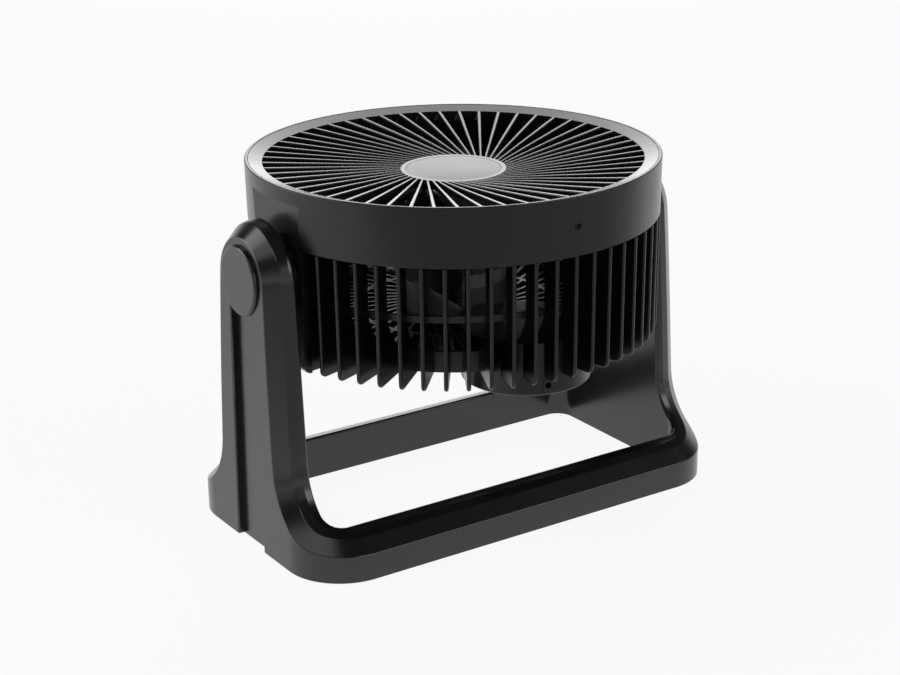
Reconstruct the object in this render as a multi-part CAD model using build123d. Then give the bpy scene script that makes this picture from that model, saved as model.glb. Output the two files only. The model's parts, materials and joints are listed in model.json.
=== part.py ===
"""Air circulator fan on a loop stand.

A round louvred head hangs between the two arms of a one-piece stand and tilts
about the X axis.  At rest it blows straight up (+Z).  The origin is on the
floor, under the middle of the base; the control housing is on the -Y side.
All sizes are in millimetres.
"""
from build123d import *
import os
from math import asin, cos, degrees, hypot, radians, sin, sqrt, tan

# ---------------------------------------------------------------- clearances
seat_gap = 0.3          # between pieces that turn past each other
run_clearance = 0.05    # radial, shaft in bore
fit_clearance = 0.1     # radial, piece pushed into its seat

# --------------------------------------------------------------------- stand
arm_gap = 4.7           # drum's lip to the arms' inner faces
arm_thickness = 22.8    # X
stand_depth = 200.0     # Y, over the base
corner_radius = 43.5    # plan corners of the base
bar_width = 24.5        # Y, front and rear bars
loop_corner_radius = 14.0
bar_height = 33.0       # at the bars' inner edge
bar_fall_deg = 4.5      # the bars' top falls outward
arch_radius = 41.0      # top of the arm
arch_drop = 0.5         # the arch is struck this far under the pivot
arm_taper_deg = 3.2     # the arm widens downward, each side
flare_margin = 13.0     # end of the arm's flare to the front of the base
side_lean = 1.95        # the arm's outer face leans in this far at the pivot
side_lean_start = 58.0
inner_round = 2.0       # rounded inner edge of arms and bars
slope_margin = 0.9      # flat left between the slope and the inner rounding
slope_drop = 4.7        # long shallow slope of the top faces
bevel_drop = 5.7        # steep outer bevel
bevel_length = 10.4
outer_crease_round = 1.1
inner_crease_round = 1.8
foot_lift = 1.5         # the stand is held this far off the floor by its feet
under_wall = 3.6        # wall of the hollow underside
under_depth = 17.0
under_rib = 2.4
under_rib_spread = 52.0  # ribs under the bars, from the middle
foot_radius = 8.0
foot_recess = 2.5
foot_inset = 61.5       # foot centre from the arm's outer face, along X
cap_pocket_depth = 8.0
channel_depth = 4.4
channel_half_top = 16.5
channel_half_bottom = 19.0
channel_round = 1.2

# ---------------------------------------------------------------- tilt pivot
pivot_height = 199.0
stub_radius = 10.0
boss_radius = 27.0
friction_inner = 20.5
friction_outer = 25.5
friction_thickness = 2.4
stop_inner = 12.6
stop_outer = 18.4
stop_depth = 4.0
stop_width_deg = 16.0
tilt_range_deg = 110.0
washer_radius = 16.0
washer_thickness = 1.6
pivot_screw_radius = 3.0
pivot_screw_head_radius = 6.5
pivot_screw_head_height = 3.4
pivot_screw_length = 22.0
cap_radius = 24.9
cap_proud = 0.8         # beyond the foot of the outer face
cap_wall = 2.0
cap_edge = 1.9
cap_seat_height = 3.0

# ---------------------------------------------------------------- drum band
head_radius = 150.0     # outside of the drum at its lip
head_depth = 130.0      # lip to rear plane
band_height = 42.0
band_taper = 0.7
band_wall = 2.6
lip_round = 0.8
band_edge_round = 0.5
ledge_drop = 7.0        # lip to the ledge that carries the grille
ledge_height = 2.5
ledge_width = 4.6
flat_inset = 3.7        # flats over the pivots, from the lip radius
flat_top_drop = 10.6
flat_wall = 2.6

# -------------------------------------------------------------- front grille
grille_seam = 0.2       # radial, grille in drum
grille_ring_width = 9.9
grille_ring_drop = 3.2  # dish of the plain ring
grille_slope = 0.0968   # dish of the ribs, drop per radial millimetre
rib_count = 55
rib_offset = 20.1       # ribs are tangent to a circle of this radius
rib_depth = 7.0
rib_width_rim = 2.9
rib_width_hub = 1.7
rib_round = 0.7         # rounding of a rib's upper edges
rib_first_deg = 0.47
ring_thickness = 3.0
skirt_wall = 2.6
hub_radius = 38.1
hub_thickness = 4.0
badge_radius = 34.4
badge_recess = 1.2
badge_seam = 0.35       # radial, open line round the badge
badge_dome = 0.9
tab_width = 16.0
tab_reach = 28.0
tab_wall = 2.0
screw_drop = 20.5       # lip to the shroud screws
shroud_screw_count = 3
shroud_screw_radius = 1.6
shroud_screw_head = 3.1
shroud_screw_head_depth = 1.7
shroud_screw_length = 11.0

# ----------------------------------------------------------------- rear cage
fin_count = 60
fin_thickness = 3.0
fin_corner = 5.0
fin_nose = 1.3          # rounding of a fin's long outer edges
fin_taper = 1.0
fin_depth_top = 15.3    # radial, at the band
fin_depth_rear = 41.3   # radial, at the rear plane
fin_tongue = 6.0        # the fins rise this far inside the band
collar_wall = 2.8
collar_gap = 0.4
mid_ring_height = 4.6
mid_ring_width = 2.6
mid_ring_rise = 45.4    # rear plane to the middle ring
pivot_wall_half = 33.0
pivot_wall_thickness = 3.0
outer_rib_count = 60
inner_rib_count = 40
rear_rib_depth = 15.0
rear_rib_thickness = 2.4
rear_ring_width = 4.0
rear_ring_share = 0.5   # middle rear ring, between the motor cup and the outer ring
motor_plate = 3.5
motor_cup_radius = 42.5
motor_cup_wall = 2.5
motor_cup_depth = 15.0
wire_web_half = 9.0     # web between motor cup and control box

# -------------------------------------------------------------- control box
control_rim_gap = 14.3  # housing to the drum's lip radius
control_motor_gap = 1.2
control_proud = 13.5    # cover stands out of the rear plane
control_wall = 2.5
control_box_depth = 25.0
cover_screw_radius = 1.3
cover_screw_head = 2.8
cover_screw_inset = 9.0
cover_screw_count = 3
cover_screw_length = 24.0
cover_boss_radius = 4.0
switch_side = 25.0
switch_height = 15.0
spindle_radius = 3.0
spindle_hole = 4.0
knob_radius = 17.0
knob_height = 8.0
knob_wall = 2.2
knob_grip_width = 9.0
gland_width = 7.0
gland_height = 9.0
gland_length = 6.0
gland_bore = 2.2
gland_turn_deg = -16.0
capacitor_size = (12.0, 30.0, 20.0)
capacitor_offset = 24.0
capacitor_turn_deg = 30.0
capacitor_round = 1.5

# -------------------------------------------------------- motor and impeller
motor_radius = 38.0
rear_bracket_height = 11.5
stator_height = 22.0
front_bracket_height = 10.0
bracket_wall = 2.0
stator_bore = 18.0
air_gap = 0.5
slot_count = 8
slot_radius = 3.6
slot_ring = 25.0
coil_radius = 31.0
coil_overhang = 6.0
bearing_radius = 6.0
bearing_length = 8.0
shaft_radius = 4.0
bolt_radius = 2.0
bolt_ring = 34.5
bolt_count = 4
bolt_head_radius = 3.4
bolt_head_height = 2.4
impeller_gap = 4.5      # motor to impeller hub
impeller_hub_radius = 36.0
impeller_hub_wall = 2.6
nut_gap = 7.7           # impeller nut to the grille's hub
impeller_round = 8.0
impeller_boss_radius = 9.0
blade_count = 5
blade_tip_gap = 22.0    # blade tips to the drum's lip radius
blade_thickness = 2.6
blade_root_half = 20.0
blade_tip_half = 52.0
blade_camber_root = 5.0
blade_camber_tip = 9.0
nut_radius = 8.5
nut_height = 7.0

# ------------------------------------------------------------ derived planes
rim_z = pivot_height + head_depth / 2
rear_z = pivot_height - head_depth / 2
band_bottom_z = rim_z - band_height
ledge_z = rim_z - ledge_drop
arm_inner_x = head_radius + arm_gap
arm_outer_x = arm_inner_x + arm_thickness
stand_length = 2 * arm_outer_x
arch_z = pivot_height - arch_drop
lean_rise = pivot_height - side_lean_start
lean_at_top = side_lean * ((lean_rise + arch_radius) / lean_rise) ** 2
slope_length = arm_thickness - lean_at_top - inner_round - slope_margin
pocket_floor_x = arm_outer_x - cap_pocket_depth
boss_face_x = arm_inner_x - friction_thickness - seat_gap
stub_end_x = pocket_floor_x + seat_gap
flat_x = head_radius - flat_inset
loop_half_y = stand_depth / 2 - bar_width
motor_floor_z = rear_z + motor_plate
stator_z = motor_floor_z + rear_bracket_height
front_bracket_z = stator_z + stator_height
motor_top_z = front_bracket_z + front_bracket_height
impeller_z = motor_top_z + impeller_gap
cover_face_z = rear_z - control_proud
switch_z = cover_face_z + control_wall
grille_inner_radius = head_radius - band_wall - grille_seam - grille_ring_width
grille_hub_z = rim_z - grille_ring_drop - grille_slope * (grille_inner_radius - hub_radius)
impeller_top_z = grille_hub_z - hub_thickness - nut_gap - nut_height
impeller_height = impeller_top_z - impeller_z
blade_tip_radius = head_radius - blade_tip_gap
fin_outer_r = head_radius - band_taper
fin_inner_top = fin_outer_r - fin_depth_top
fin_inner_rear = fin_outer_r - fin_depth_rear
collar_outer_r = fin_outer_r - band_wall - grille_seam - tab_wall - collar_gap
middle_ring_radius = motor_cup_radius + rear_ring_share * (fin_inner_rear - motor_cup_radius)
control_radius = (head_radius - control_rim_gap - motor_cup_radius - control_motor_gap) / 2
control_offset = motor_cup_radius + control_motor_gap + control_radius
cover_screw_ring = control_radius - cover_screw_inset
control_center = (0, -control_offset)
TALL = 2 * head_radius  # longer than any cut that has to go right through


# ------------------------------------------------------------------- helpers
def ring(outer, inner, z, height):
    """Plain tube on the Z axis standing on height z."""
    with BuildPart() as p:
        with BuildSketch(Plane.XY.offset(z)):
            Circle(outer)
            Circle(inner, mode=Mode.SUBTRACT)
        extrude(amount=height)
    return p.part


def disc(radius, z, height, center=(0, 0)):
    """Solid cylinder on a vertical axis."""
    return Pos(center[0], center[1], z) * Cylinder(
        radius, height, align=(Align.CENTER, Align.CENTER, Align.MIN))


def block(x0, x1, y0, y1, z0, z1):
    """Box between two corners."""
    return Pos((x0 + x1) / 2, (y0 + y1) / 2, (z0 + z1) / 2) * Box(
        abs(x1 - x0), abs(y1 - y0), abs(z1 - z0))


def axle(side, radius, x0, x1, z=pivot_height):
    """Cylinder along X on one side (+1 or -1) between two distances."""
    turn = Pos(side * x0, 0, z) * Rot(0, side * 90, 0)
    return turn * Cylinder(radius, x1 - x0, align=(Align.CENTER, Align.CENTER, Align.MIN))


def around(shape, angle_deg):
    """Shape made on the -Y side, turned about Z toward +X by the angle."""
    return Rot(0, 0, angle_deg) * shape


def revolved(points):
    """Solid of revolution about Z from radius, height pairs."""
    with BuildPart() as p:
        with BuildSketch(Plane.XZ):
            with BuildLine():
                Polyline(*points, close=True)
            make_face()
        revolve(axis=Axis.Z)
    return p.part


def joined(first, pieces):
    """One solid from a body and the list of pieces that grow out of it."""
    return first.fuse(*pieces)


def save(name, shape):
    """Write one node; a list becomes a group of separate solids."""
    if isinstance(shape, list):
        solids = [s for item in shape for s in item.solids()]
        shape = Compound(children=solids)
    else:
        solids = shape.solids()
        shape = solids[0] if len(solids) == 1 else Compound(children=list(solids))
    export_step(shape, f"parts/{name}.step")


# --------------------------------------------------------------------- stand
def plan_distance(edge, half_x, half_y, radius):
    """Signed distance of an edge's middle from a rounded rectangle in plan."""
    mid = edge @ 0.5
    dx = abs(mid.X) - (half_x - radius)
    dy = abs(mid.Y) - (half_y - radius)
    if dx > 0 and dy > 0:
        return hypot(dx, dy) - radius
    return max(abs(mid.X) - half_x, abs(mid.Y) - half_y)


def bar_top(y):
    """Height of the bars' falling top at a distance from the middle."""
    return bar_height - (y - loop_half_y) * tan(radians(bar_fall_deg))


def flare_arc():
    """Start, middle and end of the concave arc from a bar's top into an arm's flank.

    The arc touches the bar's falling top at a given point and the flank, which
    is the tapered line that touches the arch; its radius follows from that.
    """
    taper, fall = radians(arm_taper_deg), radians(bar_fall_deg)
    start_y = stand_depth / 2 - flare_margin
    start_z = bar_top(start_y)
    reach = start_y * cos(taper) + start_z * sin(taper)
    radius = (reach - arch_radius - arch_z * sin(taper)) / (1 - sin(taper + fall))
    center_y = start_y + radius * sin(fall)
    center_z = start_z + radius * cos(fall)
    points = []
    for angle in (-90 - degrees(fall), -135 + degrees(taper - fall) / 2, -180 + degrees(taper)):
        points.append((center_y + radius * cos(radians(angle)),
                       center_z + radius * sin(radians(angle))))
    return points


def stand_blank():
    """Side profile of arms and bars, run along X and trimmed by two plans."""
    half = stand_depth / 2
    flare = flare_arc()
    taper = radians(arm_taper_deg)
    flank_top = (arch_radius * cos(taper), arch_z + arch_radius * sin(taper))
    with BuildPart() as p:
        with BuildSketch(Plane.YZ):
            with BuildLine():
                Line((-half, foot_lift), (half, foot_lift))
                for s in (-1, 1):
                    start, middle, end = [(s * y, z) for y, z in flare]
                    Polyline((s * half, foot_lift), (s * half, bar_top(half)), start)
                    ThreePointArc(start, middle, end)
                    Line(end, (s * flank_top[0], flank_top[1]))
                ThreePointArc((-flank_top[0], flank_top[1]), (0, arch_z + arch_radius),
                              flank_top)
            make_face()
        extrude(amount=arm_outer_x, both=True)
        with BuildSketch():
            RectangleRounded(stand_length, stand_depth, corner_radius)
        extrude(amount=TALL, mode=Mode.INTERSECT)
        with BuildSketch():
            RectangleRounded(2 * arm_inner_x, 2 * loop_half_y, loop_corner_radius)
        extrude(amount=TALL, mode=Mode.SUBTRACT)
    return p.part & side_bound(0)


def side_bound(inset):
    """Space between the arms' outer faces, which lean inward in a long arc."""
    foot_x = arm_outer_x - inset
    lean_radius = (lean_rise ** 2 + side_lean ** 2) / (2 * side_lean)
    sweep = asin((lean_rise + 2 * arch_radius) / lean_radius)

    def on_arc(angle):
        return foot_x - lean_radius * (1 - cos(angle)), side_lean_start + lean_radius * sin(angle)

    with BuildPart() as p:
        with BuildSketch(Plane.XZ):
            with BuildLine():
                Line((-foot_x, 0), (foot_x, 0))
                ends = []
                for s in (-1, 1):
                    mid, end = [(s * x, z) for x, z in (on_arc(sweep / 2), on_arc(sweep))]
                    Line((s * foot_x, 0), (s * foot_x, side_lean_start))
                    ThreePointArc((s * foot_x, side_lean_start), mid, end)
                    ends.append(end)
                Line(*ends)
            make_face()
        extrude(amount=TALL, both=True)
    return p.part


def outer_wall(solid):
    """Curved outer face of one arm and its uppermost edge."""
    faces = [f for f in solid.faces() if f.normal_at(f.center()).X > 0.99]
    face = max(faces, key=lambda f: f.center().Z)
    return face, max(face.edges(), key=lambda e: (e @ 0.5).Z)


def arch_creases(solid):
    """Edges over the top of one arch, from the outer face inward."""
    over = [e for e in solid.edges()
            if abs((e @ 0.5).Y) < 0.01 and (e @ 0.5).Z > pivot_height and (e @ 0.5).X > 0]
    return sorted(over, key=lambda e: -(e @ 0.5).X)


def inner_top_edges(solid):
    """Edges where the loop's inner wall meets the top faces."""
    def upright(edge):
        return edge.geom_type == GeomType.LINE and abs((edge % 0.5).Z) > 0.99

    corner_y = loop_half_y - loop_corner_radius
    return [e for e in solid.edges()
            if (e @ 0.5).Z > foot_lift + 1
            and abs(plan_distance(e, arm_inner_x, loop_half_y, loop_corner_radius)) < 0.01
            and not (upright(e) and abs(abs((e @ 0.5).Y) - corner_y) < 0.02)]


def underside_cuts():
    """Hollow underside of the loop, left with cross ribs and foot bosses."""
    with BuildPart() as p:
        with BuildSketch(Plane.XY.offset(foot_lift)):
            RectangleRounded(stand_length - 2 * under_wall, stand_depth - 2 * under_wall,
                             corner_radius - under_wall)
            RectangleRounded(2 * (arm_inner_x + under_wall), 2 * (loop_half_y + under_wall),
                             loop_corner_radius + under_wall, mode=Mode.SUBTRACT)
        extrude(amount=under_depth)
    cut = p.part
    ribs = [block(x - under_rib / 2, x + under_rib / 2, -stand_depth, stand_depth, 0, bar_height)
            for x in (-under_rib_spread, under_rib_spread)]
    ribs += [block(-stand_length, stand_length, y - under_rib / 2, y + under_rib / 2,
                   0, bar_height) for y in (-loop_half_y / 2, loop_half_y / 2)]
    ribs += [disc(foot_radius + under_wall / 2, 0, bar_height, c) for c in foot_centers()]
    keep_x = arm_outer_x - channel_depth - under_wall
    keep_y = channel_half_bottom + under_wall
    ribs += [block(side * keep_x, side * arm_outer_x, -keep_y, keep_y, 0, bar_height)
             for side in (-1, 1)]
    return cut.cut(*ribs)


def foot_centers():
    """Plan positions of the four feet."""
    x = arm_outer_x - foot_inset
    y = stand_depth / 2 - bar_width / 2
    return [(sx * x, sy * y) for sx in (-1, 1) for sy in (-1, 1)]


def stop_groove(side):
    """Arc groove in the arm's inner face in which the tilt stop travels."""
    spare = stop_width_deg / 2 + degrees(seat_gap / stop_inner)
    low = -90 - spare
    span = tilt_range_deg + 2 * spare
    return sector(side, stop_inner, stop_outer, low, span,
                  arm_inner_x - seat_gap, arm_inner_x + stop_depth)


def sector(side, inner, outer, start_deg, span_deg, x0, x1):
    """Ring sector about the tilt axis, angles from +Y toward +Z."""
    with BuildPart() as p:
        with BuildSketch(Plane.YZ.offset(side * x0)):
            with BuildLine():
                arc_out = CenterArc((0, pivot_height), outer, start_deg, span_deg)
                arc_in = CenterArc((0, pivot_height), inner, start_deg, span_deg)
                Line(arc_out @ 0, arc_in @ 0)
                Line(arc_out @ 1, arc_in @ 1)
            make_face()
        extrude(amount=side * (x1 - x0))
    return p.part


def side_channel(side):
    """Shallow channel from the pivot cap to the floor, wider at the foot."""
    with BuildPart() as p:
        with BuildSketch(Plane.YZ):
            with BuildLine():
                Polyline((-channel_half_bottom, 0), (channel_half_bottom, 0),
                         (channel_half_top, pivot_height / 2), (channel_half_top, pivot_height),
                         (-channel_half_top, pivot_height), (-channel_half_top, pivot_height / 2),
                         close=True)
            make_face()
        extrude(amount=side * (arm_outer_x + channel_depth))
    return p.part.cut(side_bound(channel_depth)).solids()[0]


def channel_lips(solid):
    """Outer edges of both channels, on the arms' outer faces."""
    def on_lip(edge):
        mid = edge @ 0.5
        inner = channel_half_top - 0.1 < abs(mid.Y) < channel_half_bottom + 0.1
        return (inner and abs((edge % 0.5).Z) > 0.9 and mid.Z < pivot_height
                and abs(mid.X) > arm_outer_x - side_lean)

    return [e for e in solid.edges() if on_lip(e)]


def stand_frame():
    solid = stand_blank().solids()[0]
    solid = solid.fillet(inner_round, inner_top_edges(solid)).solids()[0]
    face, edge = outer_wall(solid)
    solid = solid.chamfer(slope_drop, slope_length, [edge], face).solids()[0]
    face, edge = outer_wall(solid)
    solid = solid.chamfer(bevel_drop, bevel_length, [edge], face).solids()[0]
    solid = solid.fillet(inner_crease_round, arch_creases(solid)[1:2]).solids()[0]
    solid = solid.fillet(outer_crease_round, arch_creases(solid)[:1]).solids()[0]
    solid = solid.cut(*[side_channel(side) for side in (-1, 1)]).solids()[0]
    solid = solid.fillet(channel_round, channel_lips(solid)).solids()[0]
    cuts = [underside_cuts()]
    cuts += [disc(foot_radius, 0, foot_lift + foot_recess, c) for c in foot_centers()]
    seats = []
    for side in (-1, 1):
        cuts.append(axle(side, cap_radius + fit_clearance, pocket_floor_x,
                         arm_outer_x + cap_pocket_depth))
        seat = axle(side, cap_radius - cap_wall - fit_clearance, pocket_floor_x,
                    pocket_floor_x + cap_seat_height)
        seats.append(seat.cut(axle(side, washer_radius + 2, 0, TALL)))
    solid = joined(solid.cut(*cuts), seats)
    bores = [axle(side, stub_radius + run_clearance, arm_inner_x - 1, arm_outer_x)
             for side in (-1, 1)]
    bores += [stop_groove(side) for side in (-1, 1)]
    return solid.cut(*bores)


def rubber_feet():
    height = foot_lift + foot_recess
    return [disc(foot_radius - fit_clearance, 0, height, c) for c in foot_centers()]


def pivot_cap(side):
    outer_x = arm_outer_x + cap_proud
    cup = axle(side, cap_radius, pocket_floor_x, outer_x).solids()[0]
    rim = max(cup.edges(), key=lambda e: abs(e.center().X))
    cup = cup.fillet(cap_edge, [rim])
    return cup.cut(axle(side, cap_radius - cap_wall, pocket_floor_x - 1, outer_x - cap_wall))


def friction_washer(side):
    outer = axle(side, friction_outer, arm_inner_x - friction_thickness, arm_inner_x)
    return outer.cut(axle(side, friction_inner, 0, TALL))


# ---------------------------------------------------------------- tilt pivot
def pivot_washer(side):
    plate = axle(side, washer_radius, stub_end_x, stub_end_x + washer_thickness)
    return plate.cut(axle(side, pivot_screw_radius + fit_clearance, 0, TALL))


def pivot_screw(side):
    head_x = stub_end_x + washer_thickness
    head = axle(side, pivot_screw_head_radius, head_x, head_x + pivot_screw_head_height)
    shank = axle(side, pivot_screw_radius - run_clearance, head_x - pivot_screw_length, head_x)
    slot_half = pivot_screw_radius / 4
    slot = block(side * (head_x + pivot_screw_head_height / 2), side * TALL, -TALL, TALL,
                 pivot_height - slot_half, pivot_height + slot_half)
    return head.fuse(shank).cut(slot)


# ----------------------------------------------------------------- drum band
def shroud_screw_angles():
    return [360 / shroud_screw_count * k for k in range(shroud_screw_count)]


def radial_pin(radius, r0, r1, z):
    """Cylinder pointing to -Y between two radii at height z."""
    return Pos(0, -r0, z) * Rot(90, 0, 0) * Cylinder(
        radius, r1 - r0, align=(Align.CENTER, Align.CENTER, Align.MIN))


def screw_countersink(r_face, z):
    """Conical seat of a shroud screw, wide end on the drum's face."""
    cone = Cone(shroud_screw_radius, shroud_screw_head, shroud_screw_head_depth,
                align=(Align.CENTER, Align.CENTER, Align.MIN))
    return Pos(0, -(r_face - shroud_screw_head_depth), z) * Rot(90, 0, 0) * cone


def screw_face_radius():
    """Radius of the tapered band at the height of its screws."""
    return head_radius - band_taper * screw_drop / band_height


def front_shroud():
    inner = head_radius - band_wall
    low = head_radius - band_taper
    body = revolved([(inner, rim_z), (head_radius, rim_z), (low, band_bottom_z),
                     (low - band_wall, band_bottom_z), (inner, ledge_z - ledge_height - band_wall),
                     (inner, ledge_z - ledge_height), (inner - ledge_width, ledge_z - ledge_height),
                     (inner - ledge_width, ledge_z), (inner, ledge_z)]).solids()[0]
    lip = [e for e in body.edges() if e.center().Z > rim_z - 0.01]
    body = body.fillet(lip_round, lip).solids()[0]
    low_edge = max((e for e in body.edges() if (e @ 0).Z < band_bottom_z + 0.01),
                   key=lambda e: e.length)
    body = body.fillet(band_edge_round, [low_edge]).solids()[0]
    flat_top = rim_z - flat_top_drop
    for side in (-1, 1):
        body = body.cut(block(side * flat_x, side * TALL, -TALL, TALL, 0, flat_top))
        plate = block(side * (flat_x - flat_wall), side * flat_x, -TALL, TALL,
                      band_bottom_z, flat_top)
        body = body.fuse(plate & disc(low - band_wall / 2, 0, TALL * 2))
        body = body.cut(axle(side, boss_radius + seat_gap, flat_x - 2 * flat_wall, TALL))
    z = rim_z - screw_drop
    r_face = screw_face_radius()
    cuts = []
    for angle in shroud_screw_angles():
        hole = radial_pin(shroud_screw_radius + fit_clearance, inner - ledge_width, TALL, z)
        cuts.append(around(hole, angle))
        cuts.append(around(screw_countersink(r_face, z), angle))
        slot_half = tab_width / 2 + seat_gap
        cuts.append(around(block(-slot_half, slot_half, -inner, -inner + 2 * ledge_width,
                                 ledge_z - 2 * ledge_height, ledge_z + seat_gap), angle))
    return body.cut(*cuts)


def shroud_screws():
    z = rim_z - screw_drop
    r_face = screw_face_radius()
    head_r = shroud_screw_head - run_clearance
    cone = Cone(shroud_screw_radius - run_clearance, head_r, shroud_screw_head_depth,
                align=(Align.CENTER, Align.CENTER, Align.MIN))
    head = Pos(0, -(r_face - shroud_screw_head_depth - run_clearance), z) * Rot(90, 0, 0) * cone
    shank = radial_pin(shroud_screw_radius - run_clearance, r_face - shroud_screw_length,
                       r_face - shroud_screw_head_depth, z)
    half = shroud_screw_radius / 4
    reach = head_r * 0.7
    cross = [block(-half, half, -TALL, -(r_face - shroud_screw_head_depth / 2), z - reach, z + reach),
             block(-reach, reach, -TALL, -(r_face - shroud_screw_head_depth / 2), z - half, z + half)]
    screw = head.fuse(shank).cut(*cross)
    return [around(screw, angle) for angle in shroud_screw_angles()]


# -------------------------------------------------------------- front grille
def grille_z(radius):
    """Height of the dished grille's top face at a radius."""
    return rim_z - grille_ring_drop - grille_slope * (grille_inner_radius - radius)


def grille_rib():
    """One straight tapered rib, tangent to the offset circle, on the -Y side."""
    overlap = 0.8
    ends = []
    for radius, width in ((hub_radius - overlap, rib_width_hub),
                          (grille_inner_radius + overlap, rib_width_rim)):
        along = sqrt(radius ** 2 - rib_offset ** 2)
        z = grille_z(radius)
        centre = Plane(origin=(-rib_offset, -along, z), x_dir=(1, 0, 0), z_dir=(0, -1, 0))
        with BuildSketch(centre) as s:
            with Locations((0, -rib_depth / 2)):
                Rectangle(width, rib_depth)
        ends.append(s.sketch)
    rib = loft(ends, ruled=True).solids()[0]
    along_rib = [e for e in rib.edges() if abs((e % 0.5).Y) > 0.9]
    upper = sorted(along_rib, key=lambda e: -(e @ 0.5).Z)[:2]
    return rib.fillet(rib_round, upper)


def front_grille():
    outer = head_radius - band_wall - grille_seam
    lead = degrees(asin(rib_offset / grille_inner_radius))
    top_z = rim_z - seat_gap
    rim = revolved([(outer, top_z), (grille_inner_radius, grille_z(grille_inner_radius)),
                    (grille_inner_radius, grille_z(grille_inner_radius) - rib_depth),
                    (grille_inner_radius + ring_thickness,
                     grille_z(grille_inner_radius) - rib_depth),
                    (grille_inner_radius + ring_thickness,
                     grille_z(grille_inner_radius) - ring_thickness),
                    (outer - skirt_wall, top_z - ring_thickness), (outer - skirt_wall, ledge_z),
                    (outer, ledge_z)])
    hub = disc(hub_radius, grille_hub_z - rib_depth, rib_depth)
    hub = hub.cut(disc(badge_radius + badge_seam, grille_hub_z - badge_recess, rib_depth))
    hub = hub.cut(disc(hub_radius - ring_thickness, 0, grille_hub_z - hub_thickness))
    rib = grille_rib()
    ribs = [around(rib, rib_first_deg + lead + 360 / rib_count * k) for k in range(rib_count)]
    body = joined(rim, [hub] + ribs)
    z = rim_z - screw_drop
    tab = block(-tab_width / 2, tab_width / 2, -TALL, 0, rim_z - tab_reach, ledge_z + ring_thickness)
    low_outer = head_radius - band_taper - band_wall - grille_seam
    tab = tab & ring(low_outer, low_outer - tab_wall, 0, TALL * 2)
    tab = tab.cut(radial_pin(shroud_screw_radius + fit_clearance, 0, TALL, z))
    return joined(body, [around(tab, angle) for angle in shroud_screw_angles()])


def grille_badge():
    """Plain domed disc in the grille's hub."""
    base_z = grille_hub_z - badge_recess
    edge_z = grille_hub_z - fit_clearance
    sphere_radius = (badge_radius ** 2 + badge_dome ** 2) / (2 * badge_dome)
    dome = Pos(0, 0, edge_z + badge_dome - sphere_radius) * Sphere(sphere_radius)
    return disc(badge_radius, base_z, badge_recess + 2 * badge_dome) & dome


# ----------------------------------------------------------------- rear cage
def fin():
    """Radial plate with a rounded rear corner, drawn on the -Y side."""
    top_z = band_bottom_z - seat_gap
    low_r = fin_outer_r - fin_taper
    low_inner = fin_inner_rear - rear_ring_width / 2
    tongue_r = collar_outer_r - collar_wall / 2
    mid_z = rear_z + mid_ring_rise
    with BuildPart() as p:
        with BuildSketch(Plane.YZ.offset(-fin_thickness / 2)):
            with BuildLine():
                Polyline((-low_inner, rear_z + rear_rib_depth), (-low_inner, rear_z),
                         (-(low_r - fin_corner), rear_z))
                RadiusArc((-(low_r - fin_corner), rear_z), (-low_r, rear_z + fin_corner),
                          fin_corner)
                Polyline((-low_r, rear_z + fin_corner), (-fin_outer_r, top_z), (-tongue_r, top_z),
                         (-tongue_r, top_z + fin_tongue), (-fin_inner_top, top_z + fin_tongue),
                         (-fin_inner_top, mid_z))
                RadiusArc((-fin_inner_top, mid_z), (-low_inner, rear_z + rear_rib_depth),
                          -1.2 * mid_ring_rise)
            make_face()
        extrude(amount=fin_thickness)
    plate = p.part.solids()[0]
    nose = [e for e in plate.edges()
            if abs((e @ 0.5).X) > fin_thickness / 2 - 0.01 and (e @ 0.5).Z < top_z - 0.01
            and ((e @ 0.5).Z < rear_z + 0.01 or (e @ 0.5).Y < -(low_r - fin_corner))]
    return plate.fillet(fin_nose, nose)


def fins():
    """All the fins; those behind the pivot walls end in the wall's inside."""
    pitch = 360 / fin_count
    reach = pivot_wall_half - fin_thickness / 2
    half = flat_x - flat_wall - seat_gap - pivot_wall_thickness / 2
    between_walls = block(-half, half, -TALL, TALL, 0, 2 * TALL)
    plate = fin()
    out = []
    for k in range(fin_count):
        turned = around(plate, pitch * k)
        behind_wall = abs(head_radius * cos(radians(pitch * k))) < reach
        out.append(turned & between_walls if behind_wall else turned)
    return out


def pivot_wall(side):
    """Flat side of the cage with its boss, hollow stub and tilt stop."""
    inner = flat_x - flat_wall - seat_gap - pivot_wall_thickness
    inside_band = block(side * inner, side * (inner + pivot_wall_thickness),
                        -pivot_wall_half, pivot_wall_half, rear_z,
                        ledge_z - ledge_height - ledge_drop)
    inside_band = inside_band & disc(head_radius - band_taper - band_wall - seat_gap, 0, 2 * TALL)
    below_band = block(side * inner, side * flat_x, -pivot_wall_half, pivot_wall_half,
                       rear_z, band_bottom_z - seat_gap).solids()[0]
    outer_low = [e for e in below_band.edges()
                 if abs(e.center().X) > flat_x - 0.01 and e.center().Z < rear_z + 0.01]
    below_band = below_band.fillet(fin_corner, outer_low)
    boss = axle(side, boss_radius, flat_x - flat_wall, boss_face_x)
    stub = axle(side, stub_radius, boss_face_x - 1, stub_end_x)
    stop = sector(side, stop_inner + seat_gap, stop_outer - seat_gap,
                  -90 - stop_width_deg / 2, stop_width_deg,
                  boss_face_x - 1, arm_inner_x + stop_depth - seat_gap)
    wall = joined(inside_band, [below_band, boss, stub, stop])
    hole_x = stub_end_x + washer_thickness - pivot_screw_length - 1
    return wall.cut(axle(side, pivot_screw_radius, hole_x, TALL))


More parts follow.
